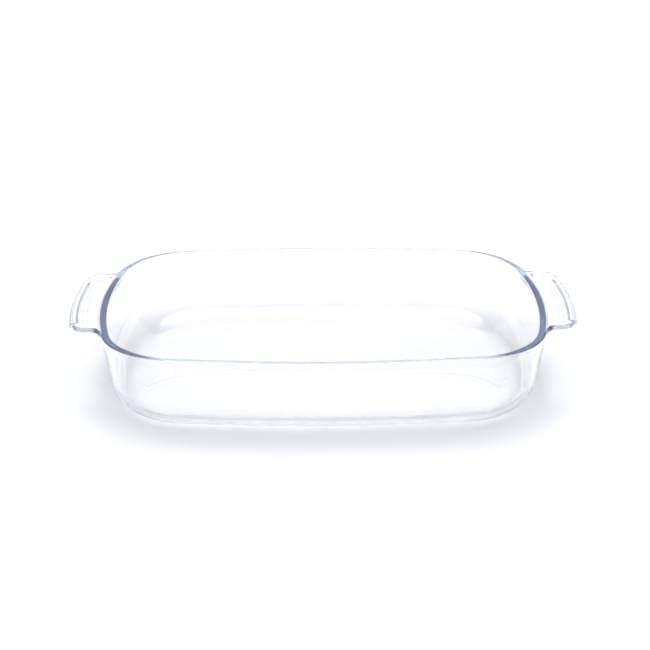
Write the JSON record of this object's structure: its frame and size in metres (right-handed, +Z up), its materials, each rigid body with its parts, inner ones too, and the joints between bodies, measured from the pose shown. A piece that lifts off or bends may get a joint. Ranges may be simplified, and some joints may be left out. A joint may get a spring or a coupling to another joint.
{
  "type": "glass baking dish",
  "caption": "Clear pressed-glass rectangular baking dish with rounded corners, flared walls, a flat rim and a wing handle at each end.",
  "frame": {"origin": "middle of the flat underside that the dish stands on", "axes": "+X along the length from handle to handle, +Y across towards the back, +Z up"},
  "size_m": [0.3888, 0.24, 0.0636],
  "materials": {
    "glass": "clear, fire-polished, faint blue in thick sections"
  },
  "bodies": {
    "root": {"floor": "glass", "heel": "glass", "wall": "glass", "rim": "glass", "left_handle": "glass", "right_handle": "glass", "left_handle_lip": "glass", "right_handle_lip": "glass", "left_grip_dots": "glass", "right_grip_dots": "glass"}
  },
  "joints": []
}
